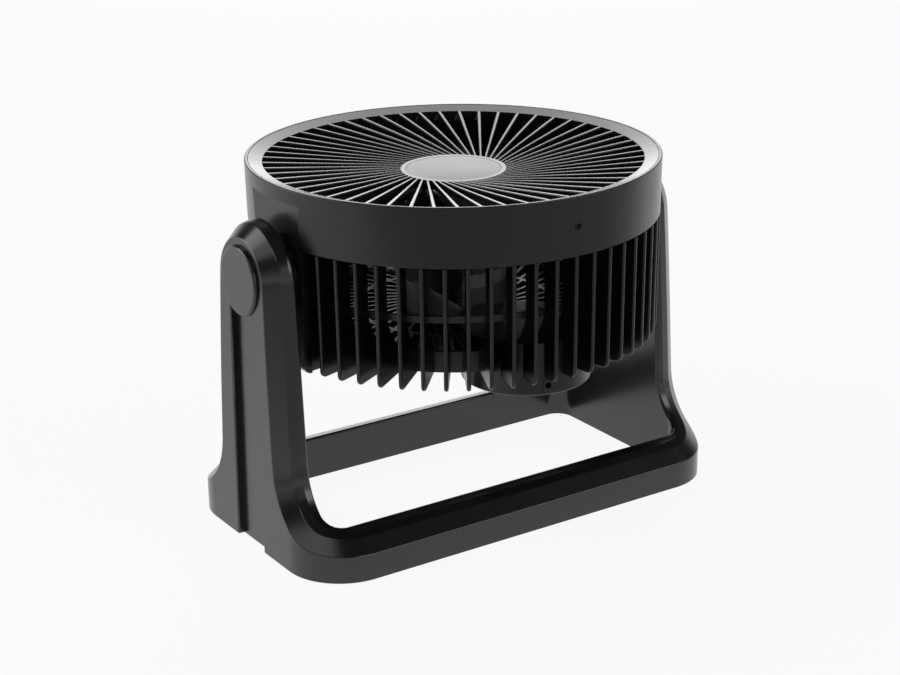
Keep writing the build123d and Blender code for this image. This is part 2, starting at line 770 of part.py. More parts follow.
def rear_ribs(inner_radius, outer_radius, count):
    """Row of straight rear ribs, tangent to the same circle as the front ribs."""
    inner = sqrt(inner_radius ** 2 - rib_offset ** 2)
    outer = sqrt(outer_radius ** 2 - rib_offset ** 2)
    half = rear_rib_thickness / 2
    rib = block(-rib_offset - half, -rib_offset + half, -outer, -inner,
                rear_z, rear_z + rear_rib_depth)
    return [around(rib, 360 / count * k) for k in range(count)]


def cover_screw_centers():
    angles = [60 + 360 / cover_screw_count * k for k in range(cover_screw_count)]
    return [(cover_screw_ring * sin(radians(a)), -control_offset - cover_screw_ring * cos(radians(a)))
            for a in angles]


def bolt_centers():
    angles = [45 + 360 / bolt_count * k for k in range(bolt_count)]
    return [(bolt_ring * cos(radians(a)), bolt_ring * sin(radians(a))) for a in angles]


def cage_collar():
    """Ring that nests inside the drum band."""
    top = ledge_z - ledge_height
    collar = ring(collar_outer_r, collar_outer_r - collar_wall, band_bottom_z,
                  top - band_bottom_z)
    half = flat_x - flat_wall - seat_gap
    collar = collar & block(-half, half, -TALL, TALL, 0, TALL * 2)
    pins = [around(radial_pin(shroud_screw_radius - run_clearance + fit_clearance, 0, TALL,
                              rim_z - screw_drop), a)
            for a in shroud_screw_angles()]
    return collar.cut(*pins)


def rear_cage():
    plate = disc(motor_cup_radius, rear_z, motor_plate)
    cup = ring(motor_cup_radius, motor_cup_radius - motor_cup_wall, rear_z, motor_cup_depth)
    rear_ring = ring(fin_inner_rear, fin_inner_rear - rear_ring_width, rear_z,
                     rear_rib_depth)
    rib_ring = ring(middle_ring_radius, middle_ring_radius - rear_ring_width, rear_z,
                    rear_rib_depth)
    mid_ring = ring(fin_inner_top + 1, fin_inner_top + 1 - mid_ring_width,
                    rear_z + mid_ring_rise, mid_ring_height)
    ribs = rear_ribs(motor_cup_radius - motor_cup_wall / 2,
                     middle_ring_radius - rear_ring_width / 2, inner_rib_count)
    ribs += rear_ribs(middle_ring_radius - rear_ring_width / 2,
                      fin_inner_rear - rear_ring_width / 2, outer_rib_count)
    web = block(-wire_web_half, wire_web_half, -control_offset + control_radius - control_wall,
                -motor_cup_radius + motor_cup_wall / 2, rear_z, rear_z + motor_cup_depth)
    walls = [pivot_wall(side) for side in (-1, 1)]
    body = joined(cage_collar(), [plate, cup, rear_ring, rib_ring, mid_ring, web]
                  + ribs + fins() + walls)
    body = body.cut(disc(control_radius - control_wall / 2, rear_z - 1, control_box_depth + 1,
                         control_center))
    box = disc(control_radius, rear_z, control_box_depth, control_center)
    box = box.cut(disc(control_radius - control_wall, rear_z - 1,
                       control_box_depth - control_wall + 1, control_center))
    bosses = [disc(cover_boss_radius, rear_z, control_box_depth - control_wall / 2, c)
              for c in cover_screw_centers()]
    body = joined(body, [box] + bosses)
    holes = [disc(cover_screw_radius, rear_z - 1, cover_screw_length, c)
             for c in cover_screw_centers()]
    holes += [disc(bolt_radius + run_clearance, rear_z - 1, TALL / 10, c) for c in bolt_centers()]
    return body.cut(*holes)


# -------------------------------------------------------------- control box
def gland_place(shape):
    """Put a shape made at the origin (length along -Y) into the cover's wall."""
    z = (cover_face_z + rear_z) / 2 + control_wall / 4
    return Pos(0, -control_offset, z) * Rot(0, 0, gland_turn_deg) * Pos(
        0, -control_radius + gland_length / 2 - 0.5, 0) * shape


def control_cover():
    """Round cover with a rolled edge, screw bosses and the gland's window."""
    top = rear_z
    cup = disc(control_radius, cover_face_z, top - cover_face_z, control_center).solids()[0]
    low_edge = min(cup.edges(), key=lambda e: e.center().Z)
    cup = cup.fillet(control_wall * 0.8, [low_edge])
    cup = cup.cut(disc(control_radius - control_wall, switch_z, TALL / 10, control_center))
    bosses = [disc(cover_boss_radius, cover_face_z + control_wall / 2,
                   rear_z - cover_face_z - control_wall / 2, c) for c in cover_screw_centers()]
    cup = joined(cup, bosses)
    cuts = [disc(cover_screw_radius + fit_clearance, 0, TALL, c) for c in cover_screw_centers()]
    cuts += [disc(cover_screw_head + fit_clearance, cover_face_z - 1, 1 + control_wall, c)
             for c in cover_screw_centers()]
    cuts.append(disc(spindle_hole, 0, TALL, control_center))
    window = Box(gland_width + 2 * fit_clearance, 3 * gland_length,
                 gland_height + 2 * fit_clearance)
    cuts.append(gland_place(window))
    return cup.cut(*cuts)


def cover_screws():
    head_z = cover_face_z + control_wall
    out = []
    for c in cover_screw_centers():
        head = disc(cover_screw_head, head_z - control_wall * 0.8, control_wall * 0.8, c)
        shank = disc(cover_screw_radius - run_clearance, head_z,
                     cover_screw_length - 2 * control_wall, c)
        slot = block(c[0] - cover_screw_head, c[0] + cover_screw_head, c[1] - 0.4, c[1] + 0.4,
                     0, head_z - control_wall * 0.4)
        out.append(head.fuse(shank).cut(slot))
    return out


def speed_switch():
    half = switch_side / 2
    body = block(-half, half, -control_offset - half, -control_offset + half,
                 switch_z, switch_z + switch_height)
    tags = [block(x - 2.4, x + 2.4, -control_offset - half - 0.01, -control_offset - half + 3,
                  switch_z + switch_height, switch_z + switch_height + 5)
            for x in (-8, 0, 8)]
    body = joined(body, tags)
    return body.cut(disc(spindle_radius + run_clearance, 0, switch_z + switch_height - 3,
                         control_center))


def switch_spindle():
    return disc(spindle_radius, cover_face_z - knob_height + knob_wall,
                control_wall + switch_height - 3 - 1 + knob_height - knob_wall, control_center)


def speed_knob():
    """Hollow round knob with a raised grip bar and a bore for the spindle."""
    top = cover_face_z - seat_gap
    low = cover_face_z - knob_height
    skirt = disc(knob_radius, top - 4, 4, control_center)
    half = knob_grip_width / 2
    grip = block(-half, half, -control_offset - knob_radius, -control_offset + knob_radius,
                 low, top)
    grip = (grip & disc(knob_radius, low, knob_height, control_center)).solids()[0]
    low_edges = [e for e in grip.edges() if e.center().Z < low + 0.01]
    grip = grip.fillet(1.2, low_edges)
    boss = disc(spindle_radius + knob_wall, low + knob_wall, top - low - knob_wall, control_center)
    cone = Pos(0, -control_offset, top - 4) * Rot(180, 0, 0) * Cone(
        knob_radius, knob_radius - 4, 5, align=(Align.CENTER, Align.CENTER, Align.MIN))
    body = joined(skirt, [grip, boss, cone])
    pointer = block(-0.6, 0.6, -control_offset - knob_radius - 1, -control_offset - knob_radius / 2,
                    0, low + 0.8)
    bore = disc(spindle_radius + run_clearance / 2, low + knob_wall, TALL / 10, control_center)
    return body.cut(pointer, bore)


def cord_gland():
    """Small bush in the cover's wall through which the lead enters."""
    bush = Box(gland_width, gland_length, gland_height)
    bore = Rot(90, 0, 0) * Cylinder(gland_bore, 2 * gland_length)
    return gland_place(bush.cut(bore))


def run_capacitor():
    dx, dy, dz = capacitor_size
    top = rear_z + control_box_depth - control_wall
    can = block(capacitor_offset - dx / 2, capacitor_offset + dx / 2,
                -dy / 2, dy / 2, top - dz, top).solids()[0]
    can = can.fillet(capacitor_round, can.edges().filter_by(Axis.Z))
    return Pos(0, -control_offset, 0) * Rot(0, 0, capacitor_turn_deg) * can


# --------------------------------------------------------------------- motor
def bolt_holes(z0, z1):
    return [disc(bolt_radius + run_clearance, z0, z1 - z0, c) for c in bolt_centers()]


def motor_bracket(z, height, opens_up):
    """Shallow cup with a bearing boss; opens toward the stator."""
    inner_z = z + bracket_wall if opens_up else z - 1
    cup = disc(motor_radius, z, height)
    well = disc(motor_radius - bracket_wall, inner_z, height - bracket_wall + 1)
    ears = [disc(bolt_radius + bracket_wall, z, height, c) for c in bolt_centers()]
    boss_z = z if opens_up else z + height - bearing_length - 1
    boss = disc(bearing_radius + bracket_wall, boss_z, bearing_length + 1)
    ears = [ear & disc(motor_radius, z, height) for ear in ears]
    body = joined(cup.cut(well), ears + [boss])
    bore_z = z + 1 if opens_up else boss_z - 1
    body = body.cut(disc(bearing_radius + run_clearance, bore_z, bearing_length + 1))
    windows = []
    if not opens_up:
        body = body.cut(disc(shaft_radius + 1, 0, TALL))
        for k in range(6):
            slot = block(-4, 4, -motor_radius + 6, -motor_radius + 17, z + height - 2 * bracket_wall,
                         z + height + 1)
            windows.append(around(slot, 30 + 60 * k))
    return body.cut(*(bolt_holes(z - 1, z + height + 1) + windows))


def stator_core():
    """Laminated ring with round winding slots."""
    core = ring(motor_radius, stator_bore, stator_z, stator_height)
    slots = []
    for k in range(slot_count):
        centre = (slot_ring * sin(radians(360 / slot_count * k)),
                  slot_ring * cos(radians(360 / slot_count * k)))
        slots.append(disc(slot_radius, 0, TALL, centre))
    return core.cut(*slots, *bolt_holes(0, TALL))


def stator_windings():
    """Coil bundles through the slots, joined by a ring above and below."""
    bars = []
    for k in range(slot_count):
        centre = (slot_ring * sin(radians(360 / slot_count * k)),
                  slot_ring * cos(radians(360 / slot_count * k)))
        bars.append(disc(slot_radius - 2 * fit_clearance, stator_z - 1, stator_height + 2, centre))
    inner = stator_bore + 1.5
    top = ring(coil_radius - 2, inner, stator_z + stator_height + fit_clearance, coil_overhang)
    low = ring(coil_radius - 2, inner, stator_z - fit_clearance - coil_overhang, coil_overhang)
    return joined(top, [low] + bars)


def motor_bearings():
    low = ring(bearing_radius, shaft_radius + run_clearance, motor_floor_z + 1, bearing_length)
    high = ring(bearing_radius, shaft_radius + run_clearance,
                motor_top_z - bearing_length - 1 - fit_clearance, bearing_length)
    return [low, high]


def motor_bolts():
    out = []
    for c in bolt_centers():
        head = disc(bolt_head_radius, motor_top_z, bolt_head_height, c)
        shank = disc(bolt_radius, rear_z + 0.5, motor_top_z - rear_z - 0.5, c)
        out.append(head.fuse(shank))
    return out


def motor_shaft():
    return disc(shaft_radius, motor_floor_z + 1.2, impeller_top_z + nut_height - 2
                - motor_floor_z - 1.2)


def rotor_core():
    return ring(stator_bore - air_gap, shaft_radius + run_clearance / 2, stator_z + 1,
                stator_height - 2)


# ------------------------------------------------------------------ impeller
def blade():
    """Pitched cambered blade, lofted between a root and a tip section."""
    sections = []
    height = impeller_height - impeller_round
    for radius, half, camber in ((impeller_hub_radius - 3, blade_root_half, blade_camber_root),
                                 (blade_tip_radius, blade_tip_half, blade_camber_tip)):
        plane = Plane(origin=(radius, 0, impeller_z + height / 2), x_dir=(0, 1, 0), z_dir=(1, 0, 0))
        length = hypot(2 * half, height)
        nx, nz = height / length, 2 * half / length
        t = blade_thickness
        lead = (half, -height / 2 + t)
        tail = (-half, height / 2)
        with BuildSketch(plane) as s:
            with BuildLine():
                ThreePointArc(tail, (camber * nx, camber * nz), lead)
                Line(lead, (lead[0] - t * nx, lead[1] - t * nz))
                ThreePointArc((lead[0] - t * nx, lead[1] - t * nz),
                              ((camber - t) * nx, (camber - t) * nz),
                              (tail[0] - t * nx, tail[1] - t * nz))
                Line((tail[0] - t * nx, tail[1] - t * nz), tail)
            make_face()
        sections.append(s.sketch)
    wing = loft(sections, ruled=True)
    return wing & ring(blade_tip_radius, impeller_hub_radius - impeller_hub_wall / 2, 0, 2 * TALL)


def impeller():
    hub = disc(impeller_hub_radius, impeller_z, impeller_height).solids()[0]
    top_edge = max(hub.edges(), key=lambda e: e.center().Z)
    hub = hub.fillet(impeller_round, [top_edge])
    hub = hub.cut(disc(impeller_hub_radius - impeller_hub_wall, impeller_z - 1,
                       impeller_height - impeller_round + 1))
    boss = disc(impeller_boss_radius, impeller_z, impeller_height - 1)
    webs = [around(block(-1.2, 1.2, -impeller_hub_radius + 1, -impeller_boss_radius + 1,
                         impeller_z + 4, impeller_top_z - impeller_round), 72 * k)
            for k in range(blade_count)]
    one = blade()
    blades = [around(one, 360 / blade_count * k) for k in range(blade_count)]
    body = joined(hub, [boss] + webs + blades)
    return body.cut(disc(shaft_radius + run_clearance / 2, 0, 2 * TALL))


def impeller_nut():
    nut = disc(nut_radius, impeller_top_z, nut_height).solids()[0]
    top_edge = max(nut.edges(), key=lambda e: e.center().Z)
    nut = nut.fillet(2.0, [top_edge])
    return nut.cut(disc(shaft_radius + run_clearance / 2, 0, impeller_top_z + nut_height - 2))


# --------------------------------------------------------------------- write
def build():
    save("stand_frame", stand_frame())
    save("rubber_feet", rubber_feet())
    for word, side in (("left", -1), ("right", 1)):
        save(f"{word}_pivot_cap", pivot_cap(side))
        save(f"{word}_friction_washer", friction_washer(side))
    save("pivot_washers", [pivot_washer(side) for side in (-1, 1)])
    save("pivot_screws", [pivot_screw(side) for side in (-1, 1)])
    save("front_shroud", front_shroud())
    save("shroud_screws", shroud_screws())
    save("front_grille", front_grille())
    save("grille_badge", grille_badge())
    save("rear_cage", rear_cage())
    save("control_cover", control_cover())
    save("cover_screws", cover_screws())
    save("speed_switch", speed_switch())
    save("run_capacitor", run_capacitor())
    save("cord_gland", cord_gland())
    save("switch_spindle", switch_spindle())
    save("speed_knob", speed_knob())
    save("motor_rear_bracket", motor_bracket(motor_floor_z, rear_bracket_height, True))
    save("motor_front_bracket", motor_bracket(front_bracket_z, front_bracket_height, False))
    save("stator_core", stator_core())
    save("stator_windings", stator_windings())
    save("motor_bearings", motor_bearings())
    save("motor_bolts", motor_bolts())
    save("rotor_core", rotor_core())
    save("motor_shaft", motor_shaft())
    save("impeller", impeller())
    save("impeller_nut", impeller_nut())


os.makedirs("parts", exist_ok=True)
build()
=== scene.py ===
"""Looks of an air circulator fan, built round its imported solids.

Lengths are in metres in the shared frame: +Z up along the drum, X along the
tilt axis, -Y the side of the control housing.
"""
import json
from math import cos, pi, radians, sin

import bpy
import numpy as np
from mathutils import Matrix, Vector

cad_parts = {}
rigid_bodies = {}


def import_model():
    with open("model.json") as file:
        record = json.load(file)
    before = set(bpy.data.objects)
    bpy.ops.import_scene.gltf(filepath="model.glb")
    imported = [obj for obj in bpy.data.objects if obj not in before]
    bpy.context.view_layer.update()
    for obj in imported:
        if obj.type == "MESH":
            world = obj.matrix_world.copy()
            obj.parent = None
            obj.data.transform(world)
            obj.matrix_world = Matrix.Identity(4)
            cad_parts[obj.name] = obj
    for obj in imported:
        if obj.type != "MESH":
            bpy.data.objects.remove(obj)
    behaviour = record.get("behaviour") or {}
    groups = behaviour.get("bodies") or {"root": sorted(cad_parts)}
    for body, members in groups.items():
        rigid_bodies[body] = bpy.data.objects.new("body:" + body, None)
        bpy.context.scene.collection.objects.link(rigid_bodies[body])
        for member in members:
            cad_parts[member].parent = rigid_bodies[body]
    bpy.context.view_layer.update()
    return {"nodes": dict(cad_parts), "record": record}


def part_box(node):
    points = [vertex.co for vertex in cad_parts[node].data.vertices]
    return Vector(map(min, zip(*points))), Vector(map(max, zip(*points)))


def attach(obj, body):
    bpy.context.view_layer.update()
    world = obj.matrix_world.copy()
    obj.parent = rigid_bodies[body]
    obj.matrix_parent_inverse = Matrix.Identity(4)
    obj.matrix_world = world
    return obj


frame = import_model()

MM = 0.001

# ------------------------------------------------------------------- node help


def linear(hex_colour):
    """Linear RGBA of an sRGB hex colour such as '#1c1c1e'."""
    parts = [int(hex_colour[i:i + 2], 16) / 255 for i in (1, 3, 5)]
    return [c / 12.92 if c <= 0.04045 else ((c + 0.055) / 1.055) ** 2.4 for c in parts] + [1.0]


def put(tree, kind, wires=None, **settings):
    """Add a node, set its properties, and wire or fill the named inputs."""
    node = tree.nodes.new(kind)
    for key, value in settings.items():
        setattr(node, key, value)
    for socket, source in (wires or {}).items():
        if isinstance(source, bpy.types.NodeSocket):
            tree.links.new(source, node.inputs[socket])
        else:
            node.inputs[socket].default_value = source
    return node


def start_material(name):
    """Empty node material with its output; returns material, tree and output node."""
    material = bpy.data.materials.new(name)
    material.use_nodes = True
    material.node_tree.nodes.clear()
    return material, material.node_tree, put(material.node_tree, "ShaderNodeOutputMaterial")


def per_mm(size_mm):
    """Texture scale whose features measure size_mm on Object coordinates in metres."""
    return 1000.0 / size_mm


# ------------------------------------------------------------------- materials
# Size of the slow clouds of flow in a moulding, and the parts of the cloud and grain noise
# that are stretched over the whole spread of gloss.
CLOUD_MM = 38.0
CLOUD_SPAN, GRAIN_SPAN = (0.3, 0.7), (0.35, 0.65)
PLASTIC_BUMP, LINE_BUMP = 0.5, 0.6


def moulded_plastic(name, colour, mottle, rough, rough_spread, grain_mm, grain_depth_mm, ior):
    """Injection-moulded plastic: eroded-tool grain in the bump, slow clouds in colour and gloss."""
    material, tree, out = start_material(name)
    place = put(tree, "ShaderNodeTexCoord").outputs["Object"]
    cloud = put(tree, "ShaderNodeTexNoise", {"Vector": place, "Scale": per_mm(CLOUD_MM),
                                             "Detail": 3.0, "Roughness": 0.55})
    grain = put(tree, "ShaderNodeTexNoise", {"Vector": place, "Scale": per_mm(grain_mm),
                                             "Detail": 2.0, "Roughness": 0.6})
    tint = put(tree, "ShaderNodeMix", {"Factor": cloud.outputs["Fac"], "A": linear(colour),
                                       "B": linear(mottle)}, data_type="RGBA")
    gloss = put(tree, "ShaderNodeMapRange", {"Value": cloud.outputs["Fac"],
                                             "From Min": CLOUD_SPAN[0],
                                             "From Max": CLOUD_SPAN[1],
                                             "To Min": rough - rough_spread,
                                             "To Max": rough + rough_spread})
    fine = put(tree, "ShaderNodeMapRange", {"Value": grain.outputs["Fac"],
                                            "From Min": GRAIN_SPAN[0],
                                            "From Max": GRAIN_SPAN[1],
                                            "To Min": -rough_spread, "To Max": rough_spread})
    total = put(tree, "ShaderNodeMath", {0: gloss.outputs["Result"], 1: fine.outputs["Result"]},
                operation="ADD")
    bump = put(tree, "ShaderNodeBump", {"Height": grain.outputs["Fac"],
                                        "Strength": PLASTIC_BUMP,
                                        "Distance": grain_depth_mm * MM})
    shader = put(tree, "ShaderNodeBsdfPrincipled", {"Base Color": tint.outputs["Result"],
                                                    "Roughness": total.outputs["Value"],
                                                    "IOR": ior, "Normal": bump.outputs["Normal"]})
    tree.links.new(shader.outputs["BSDF"], out.inputs["Surface"])
    return material


# Each row: name, colour, its cloudy second colour, roughness and its spread, grain in
# millimetres and its depth, refractive index. A mould's real grain is some 0.1 mm across, too
# fine to show, so it is drawn as coarse as each row says.
PLASTICS = {
    # Stiff styrene copolymer from a fine-eroded tool: deep black with long soft highlights.
    "stand_plastic": ("styrene_moulded_satin_stand", "#101011", "#141415",
                      0.22, 0.02, 0.7, 0.005, 1.59),
    "cap_plastic": ("styrene_moulded_satin_cap", "#121213", "#161617",
                    0.25, 0.02, 0.6, 0.006, 1.59),
    # Polypropylene takes a duller skin, so its walls reflect a little less than the stand's.
    "shroud_plastic": ("polypropylene_moulded_drum", "#0e0e0f", "#121213",
                       0.28, 0.02, 0.6, 0.006, 1.47),
    "cage_plastic": ("polypropylene_moulded_cage", "#0b0b0c", "#0e0e0f",
                     0.29, 0.02, 0.7, 0.006, 1.49),
    "impeller_plastic": ("polypropylene_moulded_blades", "#0e0f10", "#121314",
                         0.28, 0.03, 0.9, 0.010, 1.49),
    # The grille comes from a polished tool, so its ribs catch a crisp line of light. The trim
    # is moulded in the same plastic and is a little duller.
    "grille_plastic": ("abs_moulded_semi_gloss_grille", "#101011", "#131314",
                       0.24, 0.02, 0.6, 0.005, 1.54),
    "trim_plastic": ("abs_moulded_semi_gloss_trim", "#0f0f10", "#131314",
                     0.30, 0.02, 0.6, 0.006, 1.47),
    # Soft rubber shows no clear reflection, only a grey bloom on black.
    "foot_rubber": ("elastomer_moulded_feet", "#161616", "#1c1c1c", 0.75, 0.06, 1.2, 0.05, 1.52),
    "gland_rubber": ("elastomer_moulded_gland", "#121212", "#181818", 0.70, 0.05, 1.0, 0.04, 1.52),
    # Natural polyamide: milky off-white, slightly waxy.
    "pad_nylon": ("polyamide_turned_pad", "#cfcabb", "#dcd8cc", 0.50, 0.05, 0.8, 0.02, 1.53),
    # Phenolic resin: opaque brown-grey and dull, with a trace of its filler.
    "switch_plastic": ("phenolic_moulded_switch", "#8a7f66", "#978c74", 0.55, 0.05, 0.9, 0.03, 1.60),
    # Potted polyester case: pale grey with a soft, even gloss.
    "capacitor_plastic": ("polyester_potted_capacitor", "#d0d0cb", "#dadad6",
                          0.40, 0.04, 0.9, 0.02, 1.55),
}
# Each row: name, colour, its second colour (worn on most metals, and on the winding a painted shade
# between turns), roughness, pitch in millimetres of the fine lines across Z, or 0 where the metal
# has none, and the depth of those lines. Grinding lines are really finer than this, and are drawn as
# coarse as they need to show.
METALS = {
    # Zinc plating: pale and slightly blue, with a soft patchy gloss.
    "fastener_steel": ("steel_zinc_plated", "#b9bbbd", "#a4a8ac", 0.32, 0.0, 0.0),
    # Black oxide keeps the steel's glint on a nearly black skin.
    "screw_black": ("steel_black_oxide", "#2b2b2d", "#1e1e20", 0.38, 0.0, 0.0),
    # Grinding leaves close rings round the shaft that break up its highlight.
    "shaft_steel": ("steel_ground_shaft", "#c4c4c6", "#b4b5b8", 0.22, 0.35, 0.004),
    # Die casting dulls the aluminium to an even grey. Both greys are set darker still, as painted
    # shade for the motor's place deep inside the cage.
    "bracket_metal": ("aluminium_die_cast_painted_shade", "#7d7f81", "#6b6d70", 0.5, 0.0, 0.0),
    # Sheet edges show as dark and light lines half a millimetre apart.
    "lamination_steel": ("steel_laminated_sheet", "#5a5b5d", "#434447", 0.45, 0.5, 0.06),
    # Enamel deepens the copper, and the bumps round off each turn of wire. The light and dark tint
    # of the lines is a painted highlight and painted shade on each turn.
    "winding_copper": ("copper_enamelled_wire", "#b5632e", "#93481d", 0.3, 0.7, 0.16),
    # Sintered bronze is porous, so it is dull with brown patches.
    "bearing_bronze": ("bronze_sintered", "#a67c3d", "#7f5b2a", 0.5, 0.0, 0.0),
}
GRAIN_MM, GLOSS_SPREAD = 1.5, 0.08
# A wave texture repeats every 2 pi / WAVE_FACTOR of its scaled coordinate.
WAVE_FACTOR = 20.0


def metal(name, colour, wear_and_shade, rough, line_mm, line_depth_mm):
    """Bare or plated metal: gloss and tint break up in grains, with fine lines where it has them."""
    material, tree, out = start_material(name)
    place = put(tree, "ShaderNodeTexCoord").outputs["Object"]
    grain = put(tree, "ShaderNodeTexNoise", {"Vector": place, "Scale": per_mm(GRAIN_MM),
                                             "Detail": 3.0})
    gloss = put(tree, "ShaderNodeMapRange", {"Value": grain.outputs["Fac"],
                                             "To Min": rough - GLOSS_SPREAD,
                                             "To Max": rough + GLOSS_SPREAD})
    share = grain.outputs["Fac"]
    wires = {"Metallic": 1.0, "Roughness": gloss.outputs["Result"]}
    if line_mm:
        pitch = per_mm(line_mm) * 2 * pi / WAVE_FACTOR
        lines = put(tree, "ShaderNodeTexWave", {"Vector": place, "Scale": pitch},
                    bands_direction="Z")
        share = lines.outputs["Fac"]
        bump = put(tree, "ShaderNodeBump", {"Height": lines.outputs["Fac"],
                                            "Strength": LINE_BUMP,
                                            "Distance": line_depth_mm * MM})
        wires["Normal"] = bump.outputs["Normal"]
    # On the winding the two tints of the lines are a painted highlight and painted shade on each
    # turn of wire.
    tint = put(tree, "ShaderNodeMix", {"Factor": share, "A": linear(wear_and_shade), "B": linear(colour)},
               data_type="RGBA")
    wires["Base Color"] = tint.outputs["Result"]
    shader = put(tree, "ShaderNodeBsdfPrincipled", wires)
    tree.links.new(shader.outputs["BSDF"], out.inputs["Surface"])
    return material


finish_of = {slot: moulded_plastic(*row) for slot, row in PLASTICS.items()}
finish_of.update({slot: metal(*row) for slot, row in METALS.items()})
for part in frame["record"]["subparts"]:
    node = frame["nodes"][part["node"]]
    node.data.materials.clear()
    node.data.materials.append(finish_of[part["material_slot"]])

# ------------------------------------------------------------- the speed dial
DIAL_STEPS, DIAL_STEP_DEG = 4, 45.0
TICK_NEAR_MM, TICK_FAR_MM, TICK_HALF_MM, TICK_POINTS = 18.6, 21.6, 0.45, 24
DIGIT_RING_MM, DIGIT_SIZE_MM = 26.0, 6.5
# Height of the ink, size of its thin patches and its roughness.
INK_MM, INK_PATCH_MM, INK_ROUGH = 0.12, 1.2, 0.62


def printed_ink():
    """Pad-printed light grey ink: flat and chalky, a little thinner in patches."""
    material, tree, out = start_material("ink_pad_printed_marks")
    place = put(tree, "ShaderNodeTexCoord").outputs["Object"]
    patch = put(tree, "ShaderNodeTexNoise", {"Vector": place, "Scale": per_mm(INK_PATCH_MM),
                                             "Detail": 3.0})
    tint = put(tree, "ShaderNodeMix", {"Factor": patch.outputs["Fac"], "A": linear("#bdbdbb"),
                                       "B": linear("#d2d2cf")}, data_type="RGBA")
    shader = put(tree, "ShaderNodeBsdfPrincipled", {"Base Color": tint.outputs["Result"],
                                                    "Roughness": INK_ROUGH})
    tree.links.new(shader.outputs["BSDF"], out.inputs["Surface"])
    return material


def add_piece(name, points, faces, material, body):
    """Mesh of points in metres and faces by index, riding on a body with a slot's finish."""
    mesh = bpy.data.meshes.new(name)
    mesh.from_pydata(points.tolist(), [], faces)
    mesh.materials.append(material)
    piece = bpy.data.objects.new(name, mesh)
    bpy.context.scene.collection.objects.link(piece)
    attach(piece, body)


def on_dial(flat, turn_deg, centre, face_z):
    """Dial millimetres (across, outward, proud of the face) to metres in the frame.

    The dial is read from below: outward points from the knob's axis along its pointer,
    which is turned about +Z from -Y, across runs to the reader's right, and proud is -Z.
    """
    turn = radians(turn_deg)
    outward = np.array((sin(turn), -cos(turn), 0.0))
    across = np.array((cos(turn), sin(turn), 0.0))
    base = np.array((centre[0], centre[1], face_z))
    proud = np.array((0.0, 0.0, -1.0))
    return base + MM * (flat[:, :1] * across + flat[:, 1:2] * outward + flat[:, 2:] * proud)


def tick_shape():
    """Thin bar with round ends in dial millimetres: points and faces.

    Its outline is a circle of the bar's half width, cut across: one half is moved to the
    bar's near end and the other to its far end. The same outline is laid once on the face
    and once at the ink's height.
    """
    turn = (np.arange(TICK_POINTS) + 0.5) * 2 * pi / TICK_POINTS
    ends = np.where(np.sin(turn) > 0, TICK_FAR_MM - TICK_HALF_MM, TICK_NEAR_MM + TICK_HALF_MM)
    rim = np.column_stack((TICK_HALF_MM * np.cos(turn), ends + TICK_HALF_MM * np.sin(turn)))
    points = np.vstack((np.column_stack((rim, np.zeros(TICK_POINTS))),
                        np.column_stack((rim, np.full(TICK_POINTS, INK_MM)))))
    low = np.arange(TICK_POINTS)
    after = np.roll(low, -1)
    walls = np.column_stack((low, after, after + TICK_POINTS, low + TICK_POINTS))
    return points, [low[::-1].tolist(), (low + TICK_POINTS).tolist()] + walls.tolist()


def digit_shape(text):
    """One digit as a thin centred solid in millimetres, its seams closed: points and faces."""
    curve = bpy.data.curves.new("digit", "FONT")
    curve.body, curve.size, curve.extrude = text, DIGIT_SIZE_MM, INK_MM / 2
    curve.align_x, curve.align_y = "CENTER", "CENTER"
    holder = bpy.data.objects.new("digit", curve)
    bpy.context.scene.collection.objects.link(holder)
    bpy.context.view_layer.update()
    solid = bpy.data.meshes.new_from_object(holder)
    points = np.empty(len(solid.vertices) * 3)
    solid.vertices.foreach_get("co", points)
    points, merged = np.unique(points.reshape(-1, 3).round(6), axis=0, return_inverse=True)
    merged = merged.ravel()
    faces = [merged[list(face.vertices)].tolist() for face in solid.polygons]
    for block, item in ((bpy.data.objects, holder), (bpy.data.curves, curve),
                        (bpy.data.meshes, solid)):
        block.remove(item)
    return points, faces


def add_dial_marks():
    """A tick and a plain number for each of the knob's stops, on the housing's face."""
    ink = printed_ink()
    knob_low, knob_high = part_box("speed_knob")
    centre = [(knob_low[i] + knob_high[i]) / 2 for i in (0, 1)]
    face_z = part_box("control_cover")[0][2]
    tick, tick_faces = tick_shape()
    # A half turn about Y makes a digit's front face down and keeps its top at +Y.
    flipped = np.array((-1.0, 1.0, -1.0))
    lift = np.array((0.0, 0.0, INK_MM / 2))
    for step in range(DIAL_STEPS):
        turn = step * DIAL_STEP_DEG
        add_piece(f"dial_tick_{step}", on_dial(tick, turn, centre, face_z), tick_faces, ink,
                  "head")
        points, faces = digit_shape(str(step))
        place = on_dial(np.array([(0.0, DIGIT_RING_MM, 0.0)]), turn, centre, face_z)
        add_piece(f"dial_number_{step}", place + MM * (points + lift) * flipped, faces, ink,
                  "head")


add_dial_marks()

# ---------------------------------------------------------------------- studio
CAMERA_PLACE = (-0.7557, -1.1448, 0.6134)
YAW, PITCH, ROLL = radians(33.261), radians(19.745), radians(-0.745)
LENS_MM, SENSOR_MM = 78.346, 36.0
CLIP_NEAR, CLIP_FAR = 0.05, 120.0
LIGHT_AIM, LIGHT_RADIUS = (0.0, 0.0, 0.15), 3.0
# Each row: name, azimuth and elevation in degrees, width and height in metres, radiance.
SOFTBOXES = (("back_softbox", 57, 28, 1.45, 3.1, 2.35),
             ("left_back_softbox", 142, 28, 1.9, 2.8, 2.6),
             ("left_front_softbox", 202, 50, 2.4, 1.2, 1.1),
             ("right_front_softbox", 300, 27, 3.6, 1.0, 2.7))
FLOOR_HALF, FLOOR_WHITE_SHARE = 40.0, 0.92
# Between these Y the floor's mirror image goes from the paper in its own light to a glowing white, a
# painted reflection behind the fan.
FLOOR_PAPER_Y, FLOOR_GLOW_Y = -0.45, -0.05
# Strength of the air at the horizon and overhead, and the height of its fade on a unit dome.
AIR_LOW, AIR_HIGH, AIR_FADE = 0.95, 0.05, 0.45


